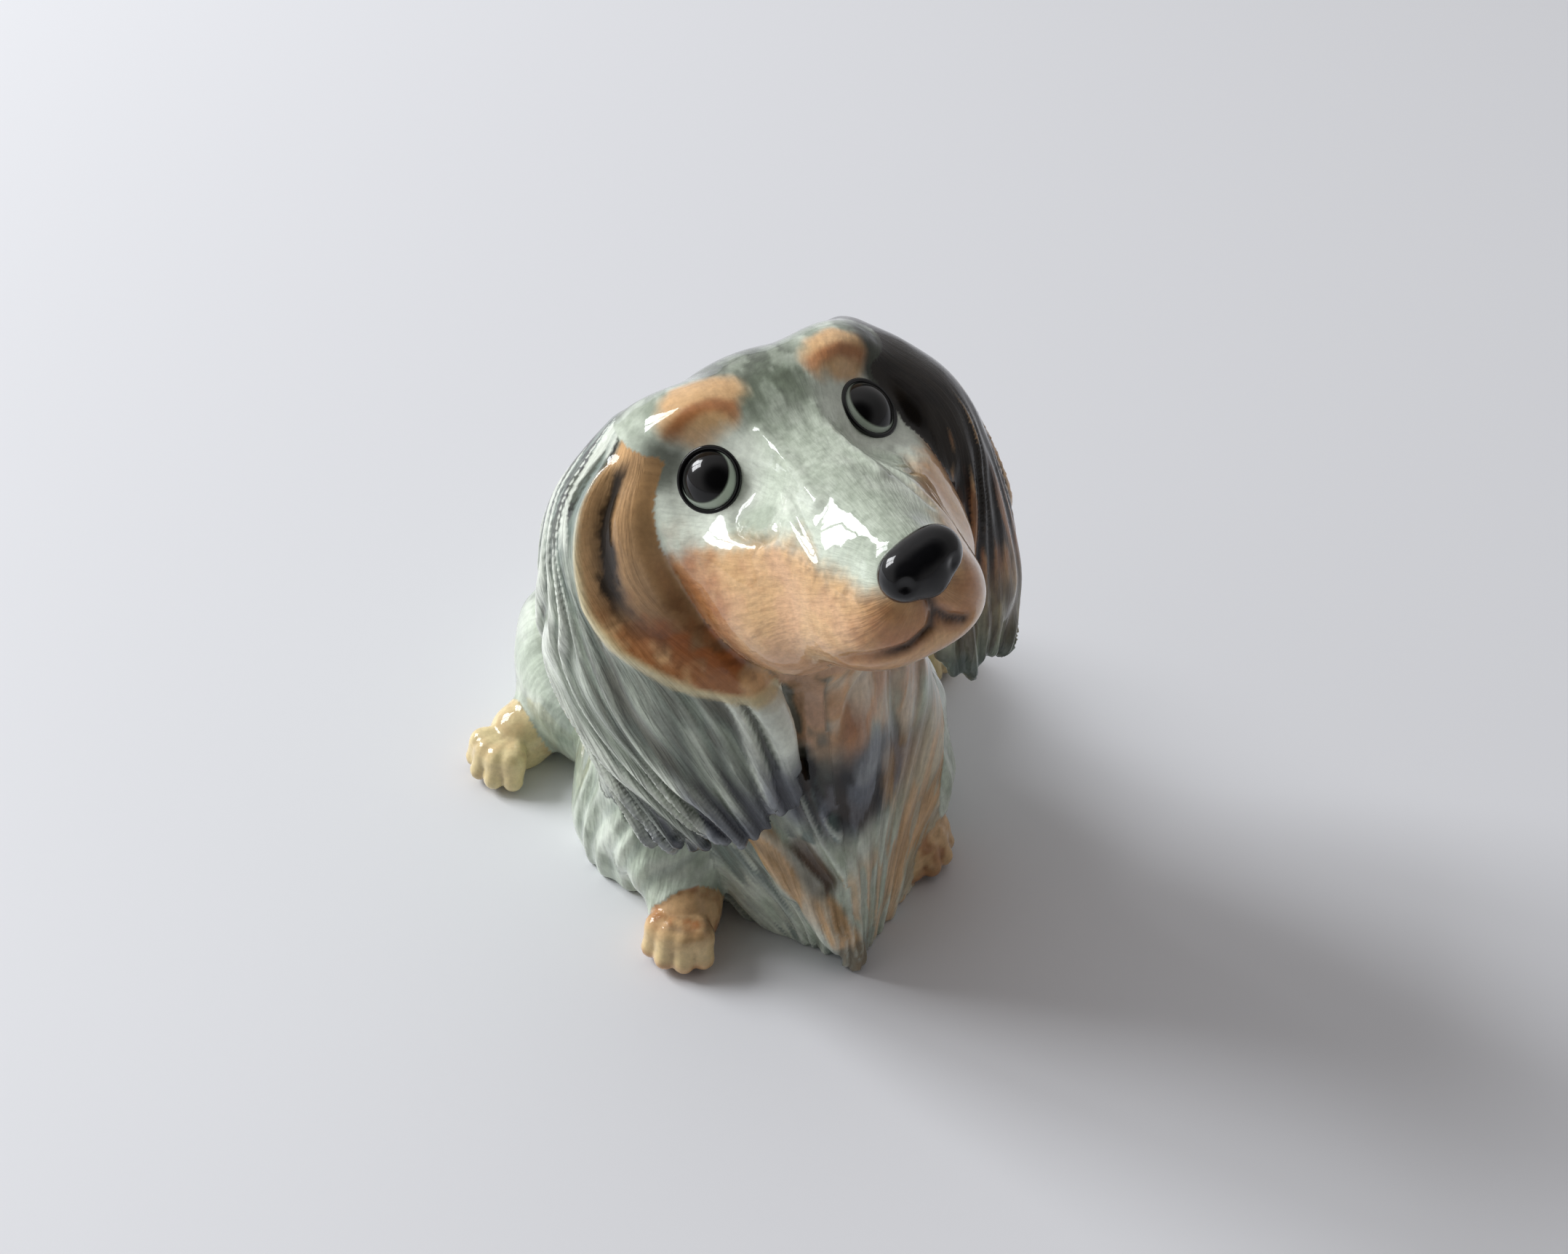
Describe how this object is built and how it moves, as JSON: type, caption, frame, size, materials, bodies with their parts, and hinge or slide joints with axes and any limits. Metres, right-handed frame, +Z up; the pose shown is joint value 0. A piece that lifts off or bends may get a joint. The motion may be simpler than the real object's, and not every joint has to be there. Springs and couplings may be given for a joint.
{
  "type": "dog figurine",
  "caption": "Seated long-haired dachshund figurine in glazed ceramic, head raised and tilted, long hanging ears, chest fur to the floor.",
  "frame": {"origin": "centre of the bottom of the bounding box, on the surface the figurine stands on", "axes": "+Z up; the dog faces -Y; its left side is +X"},
  "size_m": [0.0458, 0.0617, 0.0503],
  "materials": {
    "glazed_body": "clear gloss glaze over brushed grey-green, tan and slate colour",
    "glazed_nose": "gloss blue-black",
    "glazed_eye": "gloss black pupil in a pale grey ring"
  },
  "bodies": {
    "root": {"head": "glazed_body", "lower_jaw": "glazed_body", "left_ear": "glazed_body", "right_ear": "glazed_body", "neck": "glazed_body", "torso": "glazed_body", "chest_apron": "glazed_body", "left_foreleg": "glazed_body", "right_foreleg": "glazed_body", "left_forepaw": "glazed_body", "right_forepaw": "glazed_body", "left_thigh": "glazed_body", "right_thigh": "glazed_body", "left_hind_paw": "glazed_body", "right_hind_paw": "glazed_body", "tail": "glazed_body", "nose": "glazed_nose", "left_eye": "glazed_eye", "right_eye": "glazed_eye"}
  },
  "joints": []
}
